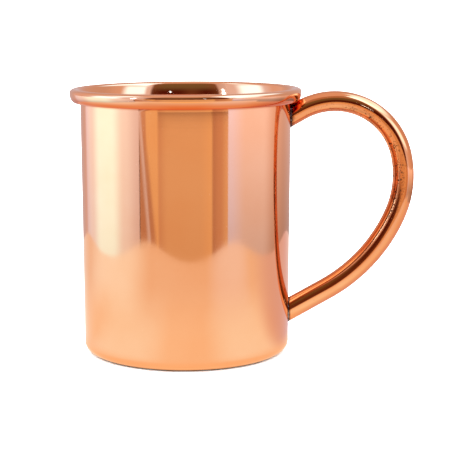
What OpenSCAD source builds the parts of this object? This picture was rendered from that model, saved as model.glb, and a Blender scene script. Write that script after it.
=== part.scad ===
// Copper mug: a spun sheet cup with a rolled rim, and a bent tube handle
// brazed to the wall at both ends. Millimetres, +Z up. The origin is where
// the cup's axis meets the table, and the handle reaches out along +X.

/* [Cup] */
// Outer radius of the wall just below the rim
wall_top_r = 40; // [36:0.5:42]
// Outer radius of the wall just above the base corner
wall_base_r = 39.5; // [35.5:0.1:42]
// Thickness of the copper sheet
sheet_t = 0.7; // [0.5:0.05:1]
// Outside radius of the corner between the wall and the base
corner_r = 3.8; // [2:0.1:5]
// Inner radius of the flat ring that the cup stands on
foot_inner_r = 32; // [24:0.5:33]
// How far the base is pushed up inside that ring
dish_h = 1; // [0.5:0.1:2]

/* [Rolled rim] */
// Height of the centre of the roll
rim_z = 99.1; // [98.5:0.1:115]
// Outer radius of the roll's round section
roll_r = 2.25; // [1.8:0.05:2.4]
// Height over which the wall flares out into the roll
flare_h = 6; // [3:0.5:10]
// Flare of the wall at the roll
flare = 0.25; // [0.1:0.05:0.4]
// Angle the sheet turns through, from the mouth over the top and back under
roll_angle = 305; // [240:5:305]

/* [Handle] */
// Outer radius of the tube
tube_r = 4.15; // [3.5:0.05:4.3]
// Thickness of the tube's wall
tube_t = 0.9; // [0.6:0.1:1.5]
// Height at which the upper end's centreline meets the wall
upper_joint_z = 90.4; // [86:0.1:90.5]
// Slope of the tube's two straight ends, falling towards the wall
end_slope = 29.2; // [26:0.1:30]
// Straight length between the wall and the first bend
lead_l = 4.6; // [4:0.1:7]
// Radius of the tight bend over the top
top_bend_r = 26.5; // [24:0.1:28]
// Radius of the bend down the outside
side_bend_r = 37.7; // [35:0.1:40]
// Radius of the slow bend back towards the wall
return_bend_r = 61.6; // [58:0.1:64]

/* [Brazing] */
// How far the filler metal stands off the wall
braze_h = 0.9; // [0.5:0.1:1.2]
// How far the filler metal spreads beyond the tube
braze_w = 0.9; // [0.5:0.1:1]

/* [Hidden] */
$fn = 96;
copper = "#C9784C";
filler = "#8A6A55";

// The roll hangs outside the flared wall, with its inner side in line with the mouth
mouth_r = wall_top_r - sheet_t + flare;
roll_x = mouth_r + roll_r;
flare_z = rim_z - flare_h;
foot_outer_r = wall_base_r - corner_r;
dish_slope = 2;

// Slope of the wall below the flare
taper = atan((wall_top_r - wall_base_r) / (flare_z - corner_r));

// The handle is laid out flat: its upper end leaves the wall at the origin along +X,
// and it turns half way round, clockwise, through three bends.
bend_radii = [top_bend_r, side_bend_r, return_bend_r];

// Unit directions from a bend's centre to its two ends, which it shares with its
// neighbours: sides of 7-24-25 and 3-4-5 triangles, so that the ends meet exactly
bend_ends = [[0, 1], [0.96, -0.28], [0.6, -0.8], [0, -1]];
last = len(bend_radii) - 1;

// The tube's rods run on this far past the wall's face, and the coping cut trims them
inset = (tube_r + braze_w) * tan(end_slope) + 1;

// Centre of bend i in the flat layout
function bend_centre(i) =
    i == 0
        ? [lead_l, -bend_radii[0]]
        : bend_centre(i - 1) + (bend_radii[i - 1] - bend_radii[i]) * bend_ends[i];

// Wall's outer radius at height z, below the flare
function wall_r(z) = wall_base_r + (z - corner_r) * tan(taper);

// Level of the lower straight, and the length that takes it back to the wall
return_start = bend_centre(last) + bend_radii[last] * bend_ends[last + 1];
wall_step = (wall_r(upper_joint_z) - wall_base_r) / cos(end_slope);
return_l = return_start[0] - return_start[1] * tan(end_slope) + wall_step;

// Half section of everything inside one face of the sheet: depth 0 is the outer face
module face_section(depth) {
    r = corner_r - depth;
    top_r = wall_top_r - depth;
    polygon([
        [0, dish_h + depth],
        [foot_inner_r - dish_slope, dish_h + depth],
        [foot_inner_r, depth],
        [foot_outer_r, depth],
        [foot_outer_r + r * cos(taper), corner_r - r * sin(taper)],
        [top_r, flare_z],
        [top_r + flare, rim_z],
        [0, rim_z]
    ]);
    translate([foot_outer_r, corner_r]) circle(r);
}

// Half section of the rim: the sheet turned over on itself, short of touching the wall
module roll_section() {
    open_angle = 360 - roll_angle;
    reach = 2 * roll_r;
    translate([roll_x, rim_z])
        difference() {
            circle(roll_r);
            circle(roll_r - sheet_t);
            polygon([
                [0, 0],
                [-reach, 0],
                [-reach, -reach],
                [-reach * cos(open_angle), -reach * sin(open_angle)]
            ]);
        }
}

module cup() {
    color(copper)
        rotate_extrude()
            union() {
                difference() {
                    face_section(0);
                    face_section(sheet_t);
                }
                roll_section();
            }
}

// Solid bounded by the wall's outer face, or by a face that stands off it by gap
module wall_solid(gap) {
    rotate_extrude()
        polygon([
            [0, corner_r],
            [wall_base_r + gap, corner_r],
            [wall_top_r + gap, flare_z],
            [wall_top_r + flare + gap, rim_z],
            [0, rim_z]
        ]);
}

// Puts the flat layout in its place on the wall
module on_wall() {
    translate([wall_r(upper_joint_z), 0, upper_joint_z])
        rotate([0, -end_slope, 0])
            rotate([90, 0, 0])
                children();
}

// Straight rod of radius r along +X
module rod(r, l) {
    rotate([0, 90, 0]) cylinder(r = r, h = l);
}

module upper_rod(r) {
    translate([-inset, 0, 0]) rod(r, inset + lead_l);
}

module lower_rod(r) {
    translate([return_start[0] - return_l - inset, return_start[1], 0])
        rod(r, inset + return_l);
}

// Rod of radius r round bend i: the part of a whole ring between the bend's ends
module bent_rod(i, r) {
    bend_r = bend_radii[i];
    from = bend_ends[i];
    to = bend_ends[i + 1];
    reach = 2 * (bend_r + r);
    translate(bend_centre(i))
        intersection() {
            rotate_extrude() translate([bend_r, 0]) circle(r);
            linear_extrude(height = 4 * r, center = true)
                polygon([[0, 0], reach * from, reach * (from + to), reach * to]);
        }
}

// Rod of radius r along the handle's whole centreline
module handle_rod(r) {
    on_wall() {
        upper_rod(r);
        for (i = [0 : last]) bent_rod(i, r);
        lower_rod(r);
    }
}

module handle() {
    color(copper)
        difference() {
            handle_rod(tube_r);
            handle_rod(tube_r - tube_t);
            wall_solid(0);
        }
}

// Filler metal round a tube's end, between the wall and a face that stands off it.
// The first child is the spread of the metal, and the second is the tube.
module braze() {
    color(filler)
        intersection() {
            difference() {
                on_wall() children(0);
                on_wall() children(1);
                wall_solid(0);
            }
            wall_solid(braze_h);
        }
}

module upper_braze_joint() {
    braze() {
        upper_rod(tube_r + braze_w);
        upper_rod(tube_r);
    }
}

module lower_braze_joint() {
    braze() {
        lower_rod(tube_r + braze_w);
        lower_rod(tube_r);
    }
}

cup();
handle();
upper_braze_joint();
lower_braze_joint();
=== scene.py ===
import math

import bmesh
import bpy
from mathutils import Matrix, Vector, noise


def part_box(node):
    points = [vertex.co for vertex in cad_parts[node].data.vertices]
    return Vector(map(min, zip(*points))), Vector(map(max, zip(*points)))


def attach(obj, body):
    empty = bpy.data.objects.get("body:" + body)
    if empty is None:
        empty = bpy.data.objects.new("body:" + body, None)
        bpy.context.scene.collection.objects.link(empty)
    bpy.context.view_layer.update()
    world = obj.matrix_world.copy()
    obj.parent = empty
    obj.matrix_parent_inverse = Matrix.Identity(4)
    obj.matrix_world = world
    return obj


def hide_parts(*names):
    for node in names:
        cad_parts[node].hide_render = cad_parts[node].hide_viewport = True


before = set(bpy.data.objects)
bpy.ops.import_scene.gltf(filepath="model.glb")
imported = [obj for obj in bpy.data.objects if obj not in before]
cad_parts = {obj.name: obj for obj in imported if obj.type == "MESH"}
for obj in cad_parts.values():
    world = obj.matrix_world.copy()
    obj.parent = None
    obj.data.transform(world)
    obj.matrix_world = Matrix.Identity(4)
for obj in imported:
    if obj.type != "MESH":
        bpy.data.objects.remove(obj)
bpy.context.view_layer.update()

MM = 0.001

# ---------------------------------------------------------------- sizes
# The highest corners of the two main nodes
cup_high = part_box("cup")[1]
handle_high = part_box("handle")[1]

# Cup: the rim's outermost radius and the top come from the frame
RIM_OUT_R = cup_high.x
RIM_TOP = cup_high.z
SHEET = 0.7 * MM
WALL_TOP_R = 40 * MM
WALL_BASE_R = 39.5 * MM
CORNER_R = 3.8 * MM
FOOT_IN_R = 32 * MM
FOOT_OUT_R = WALL_BASE_R - CORNER_R
DISH = 1 * MM
DISH_SLOPE = 2 * MM

# The wall isn't perfectly round: slow, shallow waves bend its reflections
WAVE = 0.030 * MM
WAVES_ROUND = 1.6
WAVES_UP = 22
WAVES_FROM = Vector((3.1, 7.7, 1.3))
# The rim's slope along X, level at LEVEL_X, so that it is lowest away from the handle
RIM_LEAN = 0.0043
LEVEL_X = 0.65 * RIM_OUT_R

# Rolled rim: egg-shaped in section, and deeper below its widest point than above it
ROLL_R = 1.95 * MM
ROLL_RISE = 0.74
ROLL_DROOP = 1.92
ROLL_X = RIM_OUT_R - ROLL_R
ROLL_Z = RIM_TOP - ROLL_R * ROLL_RISE
ROLL_END = math.radians(-125)
# What lies further out than this is the roll
ROLL_IN_R = WALL_TOP_R + 0.2 * MM

# The flare between the wall and the roll
FLARE_H = 6.5 * MM
FLARE_Z = RIM_TOP - FLARE_H
FLARE_LEAN = math.radians(22)

# The painted shade under the roll: how much of it reaches the flare, and over what height
FLARE_SHADE = 0.75
FLARE_SHADE_H = 1.8 * MM
# The polish inside: how far down it is full, and over what depth it fades
POLISH_DEPTH = 16 * MM
POLISH_FADE = 26 * MM

# Handle: three bends between two straight ends that slope down to the wall
TUBE_R = handle_high.y
TUBE_WALL = 0.9 * MM
END_SLOPE = math.radians(29.2)
LEAD = 4.6 * MM
LOWER_END = 18 * MM
# Each bend's radius and the angle at which it starts, from the handle's flat layout
BENDS = ((26.5 * MM, 90.0), (37.7 * MM, -16.26), (61.6 * MM, -53.13))
LAST_ANGLE = -90.0
# The tube's in-plane radius as a share of its round one, at its upper and its lower end
FLAT_FIRST = 0.942
FLAT_LAST = 1.016
# How far along the tube the wall is looked for, back and forward
SEARCH_BACK = 40 * MM
SEARCH_ON = 30 * MM
JOINT_SINK = 0.15 * MM
# How far from each joint the tube is burnt; at the upper end, on top, under the rim, this reach also
# holds painted shade
UPPER_BURN_AND_SHADE = 6 * MM
LOWER_BURN = 1.6 * MM
# Distances along the tube over which the wear of its finger side comes and goes
WEAR_COMES = (6 * MM, 40 * MM)
WEAR_GOES = (66 * MM, 90 * MM)

# Filler metal
FILLET_W = 0.30 * MM
FILLET_H = 0.36 * MM
FILLET_SKIN = 0.02 * MM

# Mesh steps
CUP_SIDES = 288
BASE_STEPS = 12
FOOT_STEPS = 4
CORNER_STEPS = 20
WALL_STEPS = 60
FLARE_STEPS = 24
ROLL_STEPS = 72
EDGE_STEPS = 6
TUBE_SIDES = 72
RING_STEP = 0.5 * MM
FILLET_STEPS = 9


# ---------------------------------------------------------------- mesh helpers
def add_object(name, verts, faces):
    mesh = bpy.data.meshes.new(name)
    mesh.from_pydata(verts, [], faces)
    mesh.shade_smooth()
    obj = bpy.data.objects.new(name, mesh)
    bpy.context.scene.collection.objects.link(obj)
    return obj


def face_outwards(obj):
    work = bmesh.new()
    work.from_mesh(obj.data)
    bmesh.ops.recalc_face_normals(work, faces=work.faces)
    work.to_mesh(obj.data)
    work.free()


def looped_grid(name, rows):
    """A closed surface from rows of points that wrap both ways, like a ring doughnut."""
    count, width = len(rows), len(rows[0])
    verts = [p for row in rows for p in row]
    faces = []
    for i in range(count):
        j = (i + 1) % count
        for k in range(width):
            n = (k + 1) % width
            faces.append((i * width + k, j * width + k, j * width + n, i * width + n))
    obj = add_object(name, verts, faces)
    face_outwards(obj)
    return obj


def float_attribute(obj, name, values):
    layer = obj.data.attributes.new(name, "FLOAT", "POINT")
    layer.data.foreach_set("value", values)


def arc(centre, radius, start, end, steps):
    x, z = centre
    points = []
    for i in range(steps + 1):
        a = start + (end - start) * i / steps
        points.append((x + radius * math.cos(a), z + radius * math.sin(a)))
    return points


def ease(u):
    return u * u * (3 - 2 * u)


# ---------------------------------------------------------------- cup
def wall_radius(z):
    """Outer radius of the straight part of the wall."""
    return WALL_BASE_R + (WALL_TOP_R - WALL_BASE_R) * (z - CORNER_R) / (FLARE_Z - CORNER_R)


def roll_point(radius, a):
    stretch = ROLL_DROOP if a < 0 else ROLL_RISE
    return ROLL_X + radius * math.cos(a), ROLL_Z + radius * stretch * math.sin(a)


def base_face(depth):
    """The dished base and the foot ring, from the axis outwards."""
    inner = FOOT_IN_R - DISH_SLOPE
    points = [(inner * i / BASE_STEPS, DISH + depth) for i in range(BASE_STEPS)]
    for i in range(BASE_STEPS + 1):
        u = i / BASE_STEPS
        points.append((inner + DISH_SLOPE * u, depth + DISH * (1 - ease(u))))
    for i in range(1, FOOT_STEPS):
        points.append((FOOT_IN_R + (FOOT_OUT_R - FOOT_IN_R) * i / FOOT_STEPS, depth))
    return points


def flare_face(depth, top_r, top_z):
    """The flare, from the top of the straight wall to the start of the roll."""
    spread = top_r - (WALL_TOP_R - depth)
    power = math.tan(FLARE_LEAN) * (top_z - FLARE_Z) / spread
    points = []
    for i in range(1, FLARE_STEPS + 1):
        u = i / FLARE_STEPS
        points.append((WALL_TOP_R - depth + spread * u ** power, FLARE_Z + (top_z - FLARE_Z) * u))
    return points


def sheet_face(depth):
    """Half section of one face of the sheet, from the axis to the roll's free edge."""
    points = base_face(depth)
    points += arc((FOOT_OUT_R, CORNER_R), CORNER_R - depth, -math.pi / 2, 0, CORNER_STEPS)
    for i in range(1, WALL_STEPS + 1):
        z = CORNER_R + (FLARE_Z - CORNER_R) * i / WALL_STEPS
        points.append((wall_radius(z) - depth, z))
    roll_r = ROLL_R - (SHEET - depth)
    start = math.pi - FLARE_LEAN
    points += flare_face(depth, *roll_point(roll_r, start))
    turn = start - ROLL_END
    for i in range(1, ROLL_STEPS + 1):
        points.append(roll_point(roll_r, start - turn * i / ROLL_STEPS))
    return points


def cup_profile():
    """Closed half section: up the inside, over the roll, round its free edge and back."""
    inside = sheet_face(SHEET)
    outside = sheet_face(0.0)
    a, b = Vector(inside[-1]), Vector(outside[-1])
    middle, arm = (a + b) / 2, (a - b) / 2
    along = Vector((-arm.y, arm.x))
    back = Vector(inside[-1]) - Vector(inside[-2])
    if along.dot(back) < 0:
        along = -along
    edge = []
    for i in range(1, EDGE_STEPS):
        t = math.pi * i / EDGE_STEPS
        p = middle + arm * math.cos(t) + along * math.sin(t)
        edge.append((p.x, p.y))
    return inside + edge + outside[::-1]


def wall_wave(a, z):
    """How far the wall stands out of round at one angle and height."""
    at = Vector((math.sin(a) * WAVES_ROUND, math.cos(a) * WAVES_ROUND, z * WAVES_UP))
    return WAVE * noise.noise(at + WAVES_FROM)


def cup_point(r, z, a):
    """A point of the section turned to angle a, with the wall's waves and the rim's lean.
    The waves fade out towards the base corner, and the lean towards half the height."""
    share = min(1.0, max(0.0, (z - CORNER_R) / (RIM_TOP - CORNER_R)))
    r += wall_wave(a, z) * ease(min(1.0, share * 4)) if r > FOOT_OUT_R else 0.0
    x, y = r * math.cos(a), r * math.sin(a)
    lean = ease(max(0.0, (share - 0.5) * 2))
    return x, y, z + lean * RIM_LEAN * (x - LEVEL_X)


def roll_share(r, z):
    """0 at the roll's widest line, rising to 1 at its lowest."""
    return (ROLL_Z - z) / (ROLL_R * ROLL_DROOP) if r > ROLL_IN_R else 0.0


def flare_share(z):
    """0 on the wall, rising where the roll hangs over the flare."""
    return min(FLARE_SHADE, max(0.0, (z - FLARE_Z) / FLARE_SHADE_H))


def inside_depth(z):
    """0 just below the mouth, rising to 1 far down the inside."""
    return ease(min(1.0, max(0.0, (RIM_TOP - z - POLISH_DEPTH) / POLISH_FADE)))


def cup_faces(rings):
    """Faces between rings of points round the axis, with a fan at both ends."""
    last = 1 + rings * CUP_SIDES
    faces = []
    for k in range(CUP_SIDES):
        n = (k + 1) % CUP_SIDES
        faces.append((0, 1 + k, 1 + n))
        for i in range(rings - 1):
            low, up = 1 + i * CUP_SIDES, 1 + (i + 1) * CUP_SIDES
            faces.append((low + k, up + k, up + n, low + n))
        end = 1 + (rings - 1) * CUP_SIDES
        faces.append((end + k, last, end + n))
    return faces


def make_cup():
    profile = cup_profile()
    # The sheet's inner face comes first, and runs on over the outside of the roll
    inner = len(sheet_face(SHEET))
    verts = [(0.0, 0.0, profile[0][1])]
    # under holds the painted shade under the roll and on the flare
    under, deep = [0.0], [1.0]
    for i, (r, z) in enumerate(profile[1:-1], 1):
        for k in range(CUP_SIDES):
            verts.append(cup_point(r, z, math.tau * k / CUP_SIDES))
            under.append(roll_share(r, z) if i < inner else flare_share(z))
            deep.append(inside_depth(z) if i < inner else 0.0)
    verts.append((0.0, 0.0, profile[-1][1]))
    under.append(0.0)
    deep.append(0.0)
    obj = add_object("cup_shell", verts, cup_faces(len(profile) - 2))
    face_outwards(obj)
    float_attribute(obj, "under_roll", under)
    float_attribute(obj, "deep_inside", deep)
    return obj


# ---------------------------------------------------------------- handle
def local_to_frame(x, y, anchor):
    c, s = math.cos(END_SLOPE), math.sin(END_SLOPE)
    return Vector((anchor.x + x * c - y * s, 0.0, anchor.z + x * s + y * c))


def frame_direction(x, y):
    c, s = math.cos(END_SLOPE), math.sin(END_SLOPE)
    return Vector((x * c - y * s, 0.0, x * s + y * c))


def bend_path():
    """Stations round the three bends, in the handle's flat layout: (x, y, outward angle)."""
    ends = [math.radians(b[1]) for b in BENDS] + [math.radians(LAST_ANGLE)]
    cx, cy = LEAD, -BENDS[0][0]
    stations = []
    for i, (radius, _) in enumerate(BENDS):
        if i:
            step = BENDS[i - 1][0] - radius
            cx += step * math.cos(ends[i])
            cy += step * math.sin(ends[i])
        count = max(8, round(radius * abs(ends[i] - ends[i + 1]) / RING_STEP))
        first = 0 if i == 0 else 1
        for k in range(first, count + 1):
            a = ends[i] + (ends[i + 1] - ends[i]) * k / count
            stations.append((cx + radius * math.cos(a), cy + radius * math.sin(a), a))
    return stations


def find_anchor(stations):
    """Where the layout's origin lies, so that the bends reach the frame's outermost corner."""
    zero = Vector((0.0, 0.0, 0.0))
    placed = [local_to_frame(x, y, zero) for x, y, _ in stations]
    return Vector((
        handle_high.x - TUBE_R - max(p.x for p in placed),
        0.0,
        handle_high.z - TUBE_R - max(p.z for p in placed),
    ))


def tube_radii(share, depth):
    """In-plane and sideways radius: bending has flattened the tube a little at the top."""
    passed = ease(min(1.0, max(0.0, (share - 0.15) / 0.6)))
    flat = FLAT_FIRST + (FLAT_LAST - FLAT_FIRST) * passed
    return TUBE_R * flat - depth, TUBE_R / flat - depth


def section(out, radii):
    """Offsets of one ring from its centre; out is the direction away from the bend's centre."""
    ring = []
    for k in range(TUBE_SIDES):
        t = math.tau * k / TUBE_SIDES
        ring.append(out * (radii[0] * math.cos(t)) + Vector((0, radii[1] * math.sin(t), 0)))
    return ring


def slide_to_wall(point, direction, sink):
    """The point where a line along the tube meets the wall's outer face, sunk a little."""
    low, high = -SEARCH_BACK, SEARCH_ON
    for _ in range(40):
        t = (low + high) / 2
        p = point + direction * t
        if math.hypot(p.x, p.y) > wall_radius(p.z) - sink:
            high = t
        else:
            low = t
    return point + direction * ((low + high) / 2)


def end_rings(ring, direction, reach):
    """Rings from the wall to a bend's first ring, the first one cut to the wall's curve."""
    coped = [slide_to_wall(p, direction, JOINT_SINK) for p in ring]
    count = max(6, round(reach / RING_STEP))
    return [[a.lerp(b, i / count) for a, b in zip(coped, ring)] for i in range(count)]


def handle_surface(depth, stations, anchor):
    rings = []
    total = len(stations) - 1
    for i, (x, y, a) in enumerate(stations):
        centre = local_to_frame(x, y, anchor)
        out = frame_direction(math.cos(a), math.sin(a))
        rings.append([centre + o for o in section(out, tube_radii(i / total, depth))])
    along = frame_direction(1, 0)
    upper = end_rings(rings[0], along, LEAD)
    lower = end_rings(rings[-1], along, LOWER_END)
    return upper + rings + lower[::-1]


def burn_and_shade(run, length, outer_side):
    """How near a point is to a torch-blackened end: 1 at the joint, 0 clear of it. The
    upper end reaches furthest on top, under the rim, where painted shade is added to the heat tint;
    outer_side is 1 along the outside of the bend."""
    if run < length / 2:
        reach = UPPER_BURN_AND_SHADE * (0.35 + 0.65 * max(0.0, outer_side))
        return max(0.0, 1 - run / reach)
    return max(0.0, 1 - (length - run) / LOWER_BURN)


def make_handle(stations, anchor):
    outer = handle_surface(0.0, stations, anchor)
    inner = handle_surface(TUBE_WALL, stations, anchor)
    rows = outer + inner[::-1]
    obj = looped_grid("handle_tube", rows)

    middles = [sum(r, Vector()) / len(r) for r in outer]
    travelled = [0.0]
    for a, b in zip(middles, middles[1:]):
        travelled.append(travelled[-1] + (b - a).length)
    # Where each point would lie if the tube were straight, for lines and wear that follow it
    straight, burn_and_shade_values = [], []
    for run in travelled + travelled[::-1]:
        for k in range(TUBE_SIDES):
            t = math.tau * k / TUBE_SIDES
            straight += [run, TUBE_R * math.cos(t), TUBE_R * math.sin(t)]
            # How burnt each point is, with painted shade on top of the upper end under the rim
            burn_and_shade_values.append(burn_and_shade(run, travelled[-1], math.cos(t)))
    layer = obj.data.attributes.new("straight", "FLOAT_VECTOR", "POINT")
    layer.data.foreach_set("vector", straight)
    float_attribute(obj, "burn_and_shade", burn_and_shade_values)
    return obj


# ---------------------------------------------------------------- brazed joints
def on_wall(point, sink):
    """The point moved straight in or out to the wall's outer face, sunk a little."""
    scale = (wall_radius(point.z) - sink) / math.hypot(point.x, point.y)
    return Vector((point.x * scale, point.y * scale, point.z))


def lump(k, seed, share):
    """A factor near 1 that varies round the bead, by about the given share."""
    t = math.tau * k / TUBE_SIDES
    slow = noise.noise(Vector((math.cos(t) * 1.5, math.sin(t) * 1.5, seed)))
    fine = noise.noise(Vector((math.cos(t) * 5.5, math.sin(t) * 5.5, seed + 9)))
    return 1 + share * (0.8 * slow + 0.5 * fine)


def make_fillet(name, ring, centre, seed, heavy_side):
    """Concave bead of filler between the tube's end and the wall."""
    along = frame_direction(1, 0)
    rows = []
    for k, p in enumerate(ring):
        foot = slide_to_wall(p, along, 0.0)
        out = (p - centre).normalized()
        heavy = 1 + 0.45 * max(0.0, heavy_side * math.cos(math.tau * k / TUBE_SIDES)) ** 3
        width = FILLET_W * lump(k, seed, 0.55) * heavy
        height = FILLET_H * lump(k, seed + 4, 0.65) * heavy
        a = on_wall(foot + out * width, -FILLET_SKIN)
        b = foot + along * height + out * FILLET_SKIN
        deep_a = on_wall(a, JOINT_SINK)
        deep_b = b - out * JOINT_SINK
        corner = on_wall(foot - out * JOINT_SINK, JOINT_SINK)
        row = []
        for i in range(FILLET_STEPS + 1):
            u = i / FILLET_STEPS
            row.append(a * (1 - u) ** 2 + foot * (2 * u * (1 - u)) + b * u * u)
        rows.append(row + [deep_b, corner, deep_a])
    return looped_grid(name, rows)


def make_fillets(stations, anchor):
    total = len(stations) - 1
    made = []
    for name, index, seed, side in (
        ("upper_braze_fillet", 0, 11.0, -1),
        ("lower_braze_fillet", total, 27.0, 1),
    ):
        x, y, a = stations[index]
        centre = local_to_frame(x, y, anchor)
        out = frame_direction(math.cos(a), math.sin(a))
        ring = [centre + o for o in section(out, tube_radii(index / total, 0.0))]
        made.append(make_fillet(name, ring, centre, seed, side))
    return made


# ---------------------------------------------------------------- node helpers
class Nodes:
    """Short calls for a material's node tree."""

    def __init__(self, name):
        self.material = bpy.data.materials.new(name)
        self.material.use_nodes = True
        self.tree = self.material.node_tree
        self.shader = self.tree.nodes["Principled BSDF"]
        self.output = self.tree.nodes["Material Output"]

    def add(self, kind, **values):
        node = self.tree.nodes.new(kind)
        for key, value in values.items():
            setattr(node, key, value)
        return node

    def link(self, source, target):
        self.tree.links.new(source, target)

    def position(self, scale=(1, 1, 1)):
        coords = self.add("ShaderNodeTexCoord")
        return self.scaled(coords.outputs["Object"], scale)

    def noise(self, vector, scale, detail=3.0, roughness=0.5, distortion=0.0):
        node = self.add("ShaderNodeTexNoise")
        node.inputs["Scale"].default_value = scale
        node.inputs["Detail"].default_value = detail
        node.inputs["Roughness"].default_value = roughness
        node.inputs["Distortion"].default_value = distortion
        self.link(vector, node.inputs["Vector"])
        return node.outputs["Fac"]

    def remap(self, value, low, high, to_low=0.0, to_high=1.0, smooth=True):
        node = self.add("ShaderNodeMapRange")
        node.interpolation_type = "SMOOTHSTEP" if smooth else "LINEAR"
        node.inputs["From Min"].default_value = low
        node.inputs["From Max"].default_value = high
        node.inputs["To Min"].default_value = to_low
        node.inputs["To Max"].default_value = to_high
        self.link(value, node.inputs["Value"])
        return node.outputs["Result"]

    def maths(self, operation, a, b):
        node = self.add("ShaderNodeMath", operation=operation)
        for socket, value in zip(node.inputs, (a, b)):
            if isinstance(value, (int, float)):
                socket.default_value = value
            else:
                self.link(value, socket)
        return node.outputs["Value"]

    def mix(self, factor, a, b):
        node = self.add("ShaderNodeMix", data_type="RGBA")
        self.link(factor, node.inputs["Factor"])
        colour_a, colour_b = [s for s in node.inputs if s.type == "RGBA"]
        for socket, value in ((colour_a, a), (colour_b, b)):
            if isinstance(value, tuple):
                socket.default_value = (*value, 1.0)
            else:
                self.link(value, socket)
        return [s for s in node.outputs if s.type == "RGBA"][0]

    def attribute(self, name, output="Fac"):
        node = self.add("ShaderNodeAttribute", attribute_name=name)
        return node.outputs[output]

    def scaled(self, vector, scale):
        mapping = self.add("ShaderNodeMapping")
        mapping.inputs["Scale"].default_value = scale
        self.link(vector, mapping.inputs["Vector"])
        return mapping.outputs["Vector"]

    def bump(self, height, strength, distance, normal=None):
        node = self.add("ShaderNodeBump")
        node.inputs["Strength"].default_value = strength
        node.inputs["Distance"].default_value = distance
        self.link(height, node.inputs["Height"])
        if normal is not None:
            self.link(normal, node.inputs["Normal"])
        return node.outputs["Normal"]


# ---------------------------------------------------------------- colours
COPPER_FRESH = (0.955, 0.470, 0.240)
COPPER_WARM = (0.945, 0.440, 0.212)
COPPER_SATIN = (0.950, 0.600, 0.420)
# Painted shade under the roll and on the flare below it
COPPER_ROLL_SHADE = (0.780, 0.175, 0.045)
# Painted shade for the inner side of the handle
COPPER_INNER_SHADE = (0.840, 0.230, 0.065)
# The tube's copper is partly its own colour and partly painted reflection: deeper and more saturated
# than the cup's, for the copper light that it takes from the cup
TUBE_FRESH = (0.950, 0.400, 0.165)
TUBE_WARM = (0.930, 0.340, 0.125)
# COPPER_BURNT and the oxide colours also paint the shade on top of the handle's upper end, under the
# rim
COPPER_BURNT = (0.420, 0.120, 0.035)
OXIDE_BROWN = (0.090, 0.030, 0.016)
OXIDE_BLACK = (0.022, 0.012, 0.010)
FILLER_DARK = (0.34, 0.26, 0.22)
FILLER_PALE = (0.66, 0.56, 0.48)


# ---------------------------------------------------------------- materials
def cup_copper():
    n = Nodes("cup_copper")
    where = n.position()
    tone = n.remap(n.noise(where, 38, 4), 0.35, 0.70)
    copper = n.mix(tone, COPPER_FRESH, COPPER_WARM)
    # Painted shade: the underside of the roll, and the flare that it hangs over, get a deeper tone
    under = n.remap(n.attribute("under_roll"), 0.22, 0.80)
    copper = n.mix(under, copper, COPPER_ROLL_SHADE)
    # Polishing reaches less far down the inside, which is paler and slightly satin there
    unpolished = n.attribute("deep_inside")
    n.link(n.mix(unpolished, copper, COPPER_SATIN), n.shader.inputs["Base Color"])

    haze = n.remap(n.noise(where, 55, 5, 0.6), 0.35, 0.75, 0.055, 0.085)
    turned = n.position((40, 40, 5200))
    lines = n.noise(turned, 1.0, 2)
    rough = n.maths("ADD", haze, n.remap(lines, 0.45, 0.80, 0.0, 0.02))
    rough = n.maths("ADD", rough, n.maths("MULTIPLY", unpolished, 0.12))
    n.link(rough, n.shader.inputs["Roughness"])

    normal = n.bump(lines, 0.05, 0.004 * MM)
    n.link(normal, n.shader.inputs["Normal"])
    n.link(n.remap(unpolished, 0.0, 1.0, 1.0, 0.80), n.shader.inputs["Metallic"])
    return n.material


def pits_of(n, where, scale, low, high):
    """Small round pits, gathered in patches."""
    cells = n.add("ShaderNodeTexVoronoi")
    cells.inputs["Scale"].default_value = scale
    n.link(where, cells.inputs["Vector"])
    dots = n.remap(cells.outputs["Distance"], 0.20, 0.42, 1.0, 0.0)
    patches = n.remap(n.noise(where, 0.28 * scale, 3), low, high)
    return n.maths("MULTIPLY", dots, patches)


def finger_side(n, straight):
    """How far a point faces the fingers, the side that is given painted shade, and how worn it is,
    which is most in the tight bend.
    """
    split = n.add("ShaderNodeSeparateXYZ")
    n.link(straight, split.inputs["Vector"])
    run, out = split.outputs["X"], split.outputs["Y"]
    facing = n.remap(out, -0.7 * TUBE_R, 0.35 * TUBE_R, 1.0, 0.0)
    bent = n.maths(
        "MULTIPLY",
        n.remap(run, *WEAR_COMES, 0.25, 1.0),
        n.remap(run, *WEAR_GOES, 1.0, 0.15),
    )
    return facing, n.maths("MULTIPLY", facing, bent)


def burnt_and_shaded_ends(n, where):
    """Where heat has browned the tube's ends, and where it has blackened them, with painted shade added
    on top of the upper end, under the rim.
    """
    ragged = n.remap(n.noise(where, 420, 4), 0.3, 0.7, -0.22, 0.22, smooth=False)
    burnt_and_shaded = n.maths("ADD", n.attribute("burn_and_shade"), ragged)
    return n.remap(burnt_and_shaded, 0.15, 0.55, 0.0, 0.85), n.remap(burnt_and_shaded, 0.50, 0.80)


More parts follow.
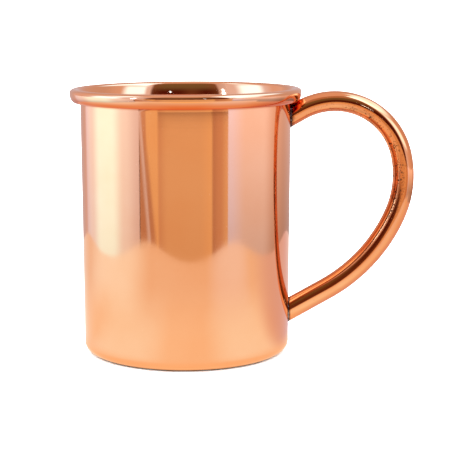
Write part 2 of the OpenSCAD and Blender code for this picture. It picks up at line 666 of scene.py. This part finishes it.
def handle_copper():
    n = Nodes("handle_copper")
    where = n.position()
    straight = n.attribute("straight", "Vector")
    tone = n.remap(n.noise(where, 60, 4), 0.35, 0.70)
    copper = n.mix(tone, TUBE_FRESH, TUBE_WARM)

    facing, worn = finger_side(n, straight)
    # Painted shade: the inner side of the tube, towards the cup, gets a deeper copper tone
    copper = n.mix(n.maths("MULTIPLY", facing, 0.55), copper, COPPER_INNER_SHADE)
    streaks = n.noise(n.scaled(straight, (90, 620, 620)), 1.0, 4, 0.6)
    stain = n.maths("MULTIPLY", n.remap(streaks, 0.46, 0.62), worn)
    large = pits_of(n, where, 760, 0.46, 0.58)
    small = pits_of(n, where, 1500, 0.42, 0.56)
    pits = n.maths("MULTIPLY", n.maths("MAXIMUM", large, small), worn)
    # Heat tint at both ends, with painted shade on top of the upper end under the rim
    browned_and_shaded, blackened_and_shaded = burnt_and_shaded_ends(n, where)

    colour = n.mix(n.maths("MULTIPLY", stain, 0.70), copper, COPPER_BURNT)
    colour = n.mix(pits, colour, OXIDE_BROWN)
    colour = n.mix(browned_and_shaded, colour, COPPER_BURNT)
    colour = n.mix(blackened_and_shaded, colour, OXIDE_BLACK)
    n.link(colour, n.shader.inputs["Base Color"])

    # Fine lines run along the tube, left by drawing it through a die
    drawn = n.noise(n.scaled(straight, (14, 2600, 2600)), 1.0, 3)
    haze = n.remap(n.noise(where, 120, 5, 0.6), 0.35, 0.75, 0.06, 0.10)
    dull = n.maths("MULTIPLY", n.maths("MAXIMUM", pits, blackened_and_shaded), 0.35)
    dull = n.maths("ADD", dull, n.maths("MULTIPLY", stain, 0.12))
    n.link(n.maths("ADD", haze, dull), n.shader.inputs["Roughness"])

    dents = n.maths("SUBTRACT", n.noise(where, 700, 4), pits)
    normal = n.bump(dents, 0.05, 0.03 * MM)
    n.link(n.bump(drawn, 0.07, 0.010 * MM, normal), n.shader.inputs["Normal"])
    n.shader.inputs["Metallic"].default_value = 1.0
    return n.material


def braze_metal():
    n = Nodes("braze")
    where = n.position()
    patches = n.noise(where, 420, 5, 0.6, 0.8)
    grey = n.mix(n.remap(n.noise(where, 900, 3), 0.35, 0.65), FILLER_DARK, FILLER_PALE)
    dark = n.mix(n.remap(n.noise(where, 1300, 3), 0.35, 0.65), OXIDE_BLACK, OXIDE_BROWN)
    colour = n.mix(n.remap(patches, 0.47, 0.62), dark, grey)
    n.link(colour, n.shader.inputs["Base Color"])
    n.link(n.remap(patches, 0.35, 0.65, 0.55, 0.28), n.shader.inputs["Roughness"])
    n.link(n.bump(n.noise(where, 1600, 5), 0.5, 0.08 * MM), n.shader.inputs["Normal"])
    n.shader.inputs["Metallic"].default_value = 1.0
    return n.material


# ---------------------------------------------------------------- studio
# Distances of the cards from the cup's axis
FAR = 2000 * MM
NEAR = 900 * MM
LAMP_R = 260 * MM
# Degrees between the points of a card's edge
CARD_STEP = 3
# Elevations from the rim, in degrees: where the floor meets the walls, where the table
# hides the floor, and the top of the dark wall
FLOOR_LINE = -4.1
TABLE_LINE = -30.0
DARK_TOP = 47
# Directions in which the room in front ends, in degrees as for the cards
LEFT_EDGE = -50.5
RIGHT_EDGE = 45.5

# The dome above the cards, which reaches a little below the table's level
DOME_R = 6000 * MM
DOME_RINGS = 16
DOME_SIDES = 48
DOME_DROP = 100 * MM

# The table: half its width, how square its outline is, and how far it is turned
TABLE_HALF = 246 * MM
TABLE_POWER = 4.5
TABLE_TURN = math.radians(4)
TABLE_SIDES = 96
# Radii over which the table's light changes: next to the foot, and further out
FOOT_GLOW = (38 * MM, 60 * MM)
TABLE_FADE = (75 * MM, 200 * MM)
# The contact shadow under the foot: the radii over which it ends, and its light
SHADOW_IN_R = 36.8 * MM
SHADOW_OUT_R = 38.2 * MM
SHADOW_LIGHT = 0.03

# The floor that the camera sees
FLOOR_HALF = 6.0
FLOOR_COLOUR = (0.92, 0.92, 0.92, 1)
WORLD_STRENGTH = 3.4


def reflected_only(obj):
    """A card that shows only as a reflection in the metal."""
    obj.visible_camera = False
    obj.visible_diffuse = False
    obj.visible_shadow = False


def light_material(name):
    """The nodes of a material that only gives out light, and its emission shader."""
    n = Nodes(name)
    n.tree.nodes.remove(n.shader)
    n.material.cycles.emission_sampling = "NONE"
    return n, n.add("ShaderNodeEmission")


def colour_ramp(n, across, peak, along):
    """The colours spread evenly along a value from 0 to 1, as shares of the peak."""
    ramp = n.add("ShaderNodeValToRGB")
    elements = ramp.color_ramp.elements
    for i, colour in enumerate(across):
        place = i / max(1, len(across) - 1)
        element = elements[i] if i < 2 else elements.new(place)
        element.position = place
        element.color = (*[c / peak for c in colour], 1.0)
    ramp.color_ramp.interpolation = "EASE"
    n.link(along, ramp.inputs["Fac"])
    return ramp.outputs["Color"]


def faded_edges(n, u, v, sides, top, bottom):
    """1 inside a card, falling to 0 at its feathered edges, or None if no edge is feathered."""
    fades = []
    if sides[0]:
        fades.append(n.remap(u, 0, sides[0]))
    if sides[1]:
        fades.append(n.remap(u, 1 - sides[1], 1, 1, 0))
    if top:
        fades.append(n.remap(v, 1 - top, 1, 1, 0))
    if bottom:
        fades.append(n.remap(v, 0, bottom))
    shown = None
    for fade in fades:
        shown = fade if shown is None else n.maths("MULTIPLY", shown, fade)
    return shown


def glow(name, across, rising=(1.0, 1.0), feather=(0.0, 0.0), top_feather=0.0, bottom_feather=0.0):
    """Light of a card: colours from left to right, brightness from bottom to top."""
    n, light = light_material(name)
    split = n.add("ShaderNodeSeparateXYZ")
    n.link(n.add("ShaderNodeTexCoord").outputs["UV"], split.inputs["Vector"])
    u, v = split.outputs["X"], split.outputs["Y"]

    peak = max(max(c) for c in across)
    n.link(colour_ramp(n, across, peak, u), light.inputs["Color"])
    brightness = n.remap(v, 0, 1, rising[0] * peak, rising[1] * peak, smooth=False)
    n.link(brightness, light.inputs["Strength"])
    shown = faded_edges(n, u, v, feather, top_feather, bottom_feather)
    if shown is None:
        n.link(light.outputs["Emission"], n.output.inputs["Surface"])
    else:
        clear = n.add("ShaderNodeBsdfTransparent")
        blend = n.add("ShaderNodeMixShader")
        n.link(shown, blend.inputs["Fac"])
        n.link(clear.outputs["BSDF"], blend.inputs[1])
        n.link(light.outputs["Emission"], blend.inputs[2])
        n.link(blend.outputs["Shader"], n.output.inputs["Surface"])
    return n.material


def arc_card(name, start, end, low, high, radius, shift=(0.0, 0.0), **light):
    """Upright curved card round the cup. Angles are in degrees: start and end go round it,
    0 towards the camera and positive towards the handle, and low and high are elevations
    seen from the rim. shift slides the top of its two ends sideways."""
    steps = max(2, round((end - start) / CARD_STEP))
    verts, faces, uvs = [], [], []
    for i in range(steps + 1):
        slide = shift[0] + (shift[1] - shift[0]) * i / steps
        for j in range(2):
            a = math.radians(start + (end - start) * i / steps + slide * j)
            z = RIM_TOP + radius * math.tan(math.radians(high if j else low))
            verts.append((radius * math.sin(a), -radius * math.cos(a), z))
            uvs.append((i / steps, float(j)))
    for i in range(steps):
        faces.append((2 * i, 2 * i + 2, 2 * i + 3, 2 * i + 1))
    obj = add_object(name, verts, faces)
    layer = obj.data.uv_layers.new(name="UVMap")
    for loop in obj.data.loops:
        layer.data[loop.index].uv = uvs[loop.vertex_index]
    obj.data.materials.append(glow(name, **light))
    reflected_only(obj)


def seen(red, green, blue, gain=1.0):
    """The light that this copper turns into a given screen colour."""
    light = []
    for level, tint in zip((red, green, blue), COPPER_FRESH):
        share = level / 255
        linear = share / 12.92 if share < 0.04 else ((share + 0.055) / 1.055) ** 2.4
        light.append(linear / tint * gain)
    return tuple(light)


# What the cards look like in the copper, with a gain for those that are brighter than that
WHITE = seen(255, 250, 240, 4)
PALE = seen(255, 244, 226, 1.25)
DAZZLING = seen(255, 246, 230, 2.1)
IVORY = seen(255, 235, 200, 1.08)
CREAM = seen(250, 200, 170)
PINK = seen(245, 194, 182)
PEACH = seen(248, 184, 152)
BLUSH = seen(232, 174, 148)
SALMON = seen(225, 150, 112)
CLAY = seen(206, 136, 100)
ORANGE = seen(240, 154, 90)
GLOWING = seen(255, 168, 98)
AMBER = seen(230, 148, 90)
OCHRE = seen(210, 124, 76)
BROWN = seen(190, 110, 68)
RUST = seen(140, 74, 40)
OLIVE = seen(126, 80, 40)
SOOT = seen(82, 20, 6)
EMBER = seen(104, 44, 18)

# What the table looks like in it: by the foot, near the cup, far from it and behind it
TABLE_FOOT = seen(255, 172, 112)
TABLE_NEAR = seen(253, 180, 126)
TABLE_NEAR_LIT = seen(255, 198, 152)
TABLE_FAR = seen(243, 170, 120)
TABLE_FAR_LEFT = seen(255, 202, 160)
TABLE_FAR_RIGHT = seen(246, 182, 144)
TABLE_BACK = seen(226, 150, 116)


def make_front():
    """The room behind the camera: warm floor below the horizon, darkness above it, and two
    lamps. A card of smaller radius stands in front of the others."""
    fading = (0.55, 1.04)
    arc_card("front_floor", LEFT_EDGE, RIGHT_EDGE, TABLE_LINE, FLOOR_LINE, FAR,
             across=(OCHRE, OCHRE, AMBER, AMBER, AMBER, ORANGE, ORANGE), rising=fading)
    arc_card("front_wall_left", LEFT_EDGE, -30, FLOOR_LINE, DARK_TOP, 1.01 * FAR,
             across=(BLUSH, CLAY), rising=(1.0, 0.8))
    arc_card("front_wall_right", 30, RIGHT_EDGE, FLOOR_LINE, DARK_TOP, 1.01 * FAR,
             across=(CLAY, BLUSH))
    arc_card("front_dark", -41, 43, FLOOR_LINE, DARK_TOP, FAR, across=(RUST, OLIVE, OLIVE, OLIVE, RUST),
             feather=(0.05, 0.05), rising=(0.65, 1.0))
    arc_card("front_high", -46, 46, DARK_TOP - 1, 82, 1.01 * FAR, across=(CLAY, OCHRE, OCHRE, CLAY),
             feather=(0.1, 0.1), top_feather=0.3, rising=(0.7, 0.9))
    arc_card("front_dark_low", -41, 43, FLOOR_LINE, 30, 0.99 * FAR,
             across=(EMBER, SOOT, EMBER, SOOT, SOOT, EMBER), feather=(0.05, 0.05), top_feather=0.6)
    arc_card("front_haze", -36, 30, -5.8, FLOOR_LINE, 0.985 * FAR, across=(OCHRE, OCHRE),
             bottom_feather=0.65, feather=(0.05, 0.0), rising=(0.5, 0.6))
    arc_card("near_floor", -75, 75, TABLE_LINE, -13.5, 0.9 * FAR, across=(PEACH, GLOWING, PEACH),
             top_feather=0.35)
    arc_card("orange_streak", -44, -28, TABLE_LINE, FLOOR_LINE, 0.98 * FAR, across=(ORANGE, ORANGE),
             feather=(0.1, 0.2), rising=fading)
    arc_card("dark_streak", 26.5, RIGHT_EDGE, TABLE_LINE, FLOOR_LINE - 1.0, 0.98 * FAR,
             across=(BROWN, OCHRE, AMBER), feather=(0.15, 0.0), rising=(0.45, 1.06))
    arc_card("dark_streak_top", 26.5, RIGHT_EDGE, FLOOR_LINE - 1.2, FLOOR_LINE, 0.975 * FAR,
             across=(RUST, RUST), bottom_feather=0.15)
    arc_card("brown_streak", LEFT_EDGE, -20, -16.0, -5.4, 0.97 * FAR, shift=(0, -24),
             across=(BROWN, BROWN), feather=(0.0, 0.25), top_feather=0.3)
    arc_card("pale_streak", -36, -30.5, -16.0, FLOOR_LINE, 0.96 * FAR, shift=(-19.5, -19.5),
             across=(CLAY, BLUSH), feather=(0.3, 0.3), rising=(0.8, 1.05))
    arc_card("strip_lamp", -51.0, -45.2, -1.6, 9, LAMP_R, across=(WHITE, WHITE),
             feather=(0.2, 0.2))
    arc_card("strip_lamp_top", -49.4, -46.0, 9, 23, LAMP_R, across=(WHITE, WHITE),
             feather=(0.2, 0.2), top_feather=0.15)
    arc_card("small_lamp", 17.0, 18.8, 9.0, 15.0, 0.95 * FAR, across=(WHITE, WHITE),
             feather=(0.3, 0.3), top_feather=0.3)


def make_sides():
    """Softboxes to the left and right, and the plain walls behind them."""
    tones = (PINK, PEACH, PEACH, SALMON, CLAY, CLAY, CLAY)
    arc_card("right_low_wall", RIGHT_EDGE, 180, TABLE_LINE, FLOOR_LINE, FAR, across=tones,
             rising=(0.5, 0.6))
    arc_card("right_wall", RIGHT_EDGE, 180, -16, FLOOR_LINE, 0.99 * FAR, across=tones,
             rising=(0.46, 1.18))
    arc_card("right_upper_wall", RIGHT_EDGE, 180, FLOOR_LINE, 60, FAR,
             across=(BLUSH, SALMON, CLAY, CLAY, CLAY))
    arc_card("left_wall", -180, -130, TABLE_LINE, 60, FAR, across=(CLAY, CLAY, SALMON))
    arc_card("left_softbox", -141, LEFT_EDGE, TABLE_LINE, FLOOR_LINE, NEAR,
             across=(BLUSH, CREAM, IVORY, IVORY, CREAM, BLUSH), feather=(0.08, 0.0),
             rising=(0.50, 1.10))
    arc_card("left_upper_softbox", -141, LEFT_EDGE, FLOOR_LINE, 46, NEAR,
             across=(SALMON, SALMON, BLUSH, CREAM, BLUSH, BLUSH), top_feather=0.3)
    arc_card("left_glare", -108, -60, FLOOR_LINE, 40, 0.95 * NEAR, across=(PALE, PALE),
             feather=(0.3, 0.3), top_feather=0.4)
    arc_card("left_high_softbox", -112, -60, 38, 66, 0.93 * NEAR, across=(PALE, PALE),
             feather=(0.3, 0.3), top_feather=0.4, bottom_feather=0.2)
    arc_card("right_glare", 46.5, 84, 2, 34, NEAR, across=(PALE, PALE),
             feather=(0.15, 0.35), top_feather=0.3, bottom_feather=0.2)
    arc_card("right_high_softbox", 43, 152, 27, 72, 0.95 * NEAR, across=(DAZZLING, PALE, PALE),
             feather=(0.08, 0.30), top_feather=0.35, bottom_feather=0.15)


def make_ceiling():
    """Dome above the surround."""
    verts, faces = [], []
    for i in range(DOME_RINGS + 1):
        up = math.radians(90 * i / DOME_RINGS)
        for k in range(DOME_SIDES):
            a = math.tau * k / DOME_SIDES
            across = DOME_R * math.cos(up)
            z = DOME_R * math.sin(up) - DOME_DROP
            verts.append((across * math.sin(a), -across * math.cos(a), z))
    for i in range(DOME_RINGS):
        for k in range(DOME_SIDES):
            n = (k + 1) % DOME_SIDES
            low, high = i * DOME_SIDES, (i + 1) * DOME_SIDES
            faces.append((low + k, low + n, high + n, high + k))
    obj = add_object("ceiling_dome", verts, faces)
    n, light = light_material("ceiling_dome")
    light.inputs["Color"].default_value = (*SALMON, 1)
    n.link(light.outputs["Emission"], n.output.inputs["Surface"])
    obj.data.materials.append(n.material)
    reflected_only(obj)


def table_outline():
    """A square top with well rounded corners."""
    points = []
    for k in range(TABLE_SIDES):
        a = math.tau * k / TABLE_SIDES
        c, s = math.cos(a), math.sin(a)
        reach = TABLE_HALF / (abs(c) ** TABLE_POWER + abs(s) ** TABLE_POWER) ** (1 / TABLE_POWER)
        points.append((reach * math.cos(a + TABLE_TURN), reach * math.sin(a + TABLE_TURN), 0))
    return points


def lobe(n, where, towards, width):
    """1 in one direction on the table, in degrees as for the cards, falling to 0 beside it."""
    a = math.radians(towards)
    turn = n.add("ShaderNodeVectorMath", operation="NORMALIZE")
    n.link(where, turn.inputs[0])
    dot = n.add("ShaderNodeVectorMath", operation="DOT_PRODUCT")
    n.link(turn.outputs["Vector"], dot.inputs[0])
    dot.inputs[1].default_value = (math.sin(a), -math.cos(a), 0)
    return n.remap(dot.outputs["Value"], math.cos(math.radians(width)), 1.0)


def make_table():
    """The table top as the copper sees it: bright, warm near the cup and dark under it."""
    obj = add_object("reflected_table", table_outline(), [tuple(range(TABLE_SIDES))])
    n, light = light_material("reflected_table")
    where = n.position()
    length = n.add("ShaderNodeVectorMath", operation="LENGTH")
    n.link(where, length.inputs[0])
    radius = length.outputs["Value"]
    lit = n.maths("MAXIMUM", lobe(n, where, -54, 42), lobe(n, where, 52, 40))
    near = n.mix(lit, TABLE_NEAR, TABLE_NEAR_LIT)
    far = n.mix(lobe(n, where, -80, 46), TABLE_FAR, TABLE_FAR_LEFT)
    far = n.mix(lobe(n, where, 44, 26), far, TABLE_FAR_RIGHT)
    colour = n.mix(n.remap(radius, *TABLE_FADE), near, far)
    colour = n.mix(lobe(n, where, 116, 48), colour, TABLE_BACK)
    colour = n.mix(n.remap(radius, *FOOT_GLOW), TABLE_FOOT, colour)
    n.link(colour, light.inputs["Color"])
    strength = n.remap(radius, SHADOW_IN_R, SHADOW_OUT_R, SHADOW_LIGHT, 1.0)
    n.link(strength, light.inputs["Strength"])
    n.link(light.outputs["Emission"], n.output.inputs["Surface"])
    obj.data.materials.append(n.material)
    reflected_only(obj)


def make_floor():
    """The pale floor that the camera sees. The metal's reflections don't show it."""
    half = FLOOR_HALF
    verts = [(-half, -half, 0), (half, -half, 0), (half, half, 0), (-half, half, 0)]
    obj = add_object("floor", verts, [(0, 1, 2, 3)])
    n = Nodes("floor")
    n.shader.inputs["Base Color"].default_value = FLOOR_COLOUR
    n.shader.inputs["Roughness"].default_value = 1.0
    n.shader.inputs["Specular IOR Level"].default_value = 0.0
    obj.data.materials.append(n.material)
    obj.visible_glossy = False


def make_world():
    """White light all round, for the background, the floor and the cup's satin inside.
    The metal's reflections don't show it."""
    world = bpy.data.worlds.new("studio")
    bpy.context.scene.world = world
    world.use_nodes = True
    background = world.node_tree.nodes["Background"]
    background.inputs["Color"].default_value = (1, 1, 1, 1)
    background.inputs["Strength"].default_value = WORLD_STRENGTH
    world.cycles_visibility.glossy = False


# ---------------------------------------------------------------- camera
CAMERA_DISTANCE = 530.4 * MM
CAMERA_HEIGHT = 133.8 * MM
CAMERA_YAW = math.radians(1.75)
CAMERA_PITCH = math.radians(9.262)
CAMERA_ROLL = math.radians(-0.05)
SENSOR = 36.0
FOCAL_LENGTH = 109.55
CLIP_START = 10 * MM


def make_camera():
    data = bpy.data.cameras.new("camera")
    data.sensor_width = SENSOR
    data.lens = FOCAL_LENGTH
    data.clip_start = CLIP_START
    camera = bpy.data.objects.new("camera", data)
    camera.location = (0.0, -CAMERA_DISTANCE, CAMERA_HEIGHT)
    camera.rotation_euler = (math.pi / 2 - CAMERA_PITCH, CAMERA_ROLL, -CAMERA_YAW)
    bpy.context.scene.collection.objects.link(camera)
    bpy.context.scene.camera = camera


# ---------------------------------------------------------------- assembly
def finish_piece(obj, material, node):
    obj.data.materials.append(material)
    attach(obj, "root")
    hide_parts(node)


def build():
    stations = bend_path()
    anchor = find_anchor(stations)
    finish_piece(make_cup(), cup_copper(), "cup")
    finish_piece(make_handle(stations, anchor), handle_copper(), "handle")
    filler = braze_metal()
    upper, lower = make_fillets(stations, anchor)
    finish_piece(upper, filler, "upper_braze_joint")
    finish_piece(lower, filler, "lower_braze_joint")


make_camera()
make_world()
make_floor()
make_table()
make_front()
make_sides()
make_ceiling()
build()

bpy.context.scene.view_settings.view_transform = "Standard"
# The inside of the cup reflects itself many times over
bpy.context.scene.cycles.max_bounces = 24
bpy.context.scene.cycles.glossy_bounces = 20
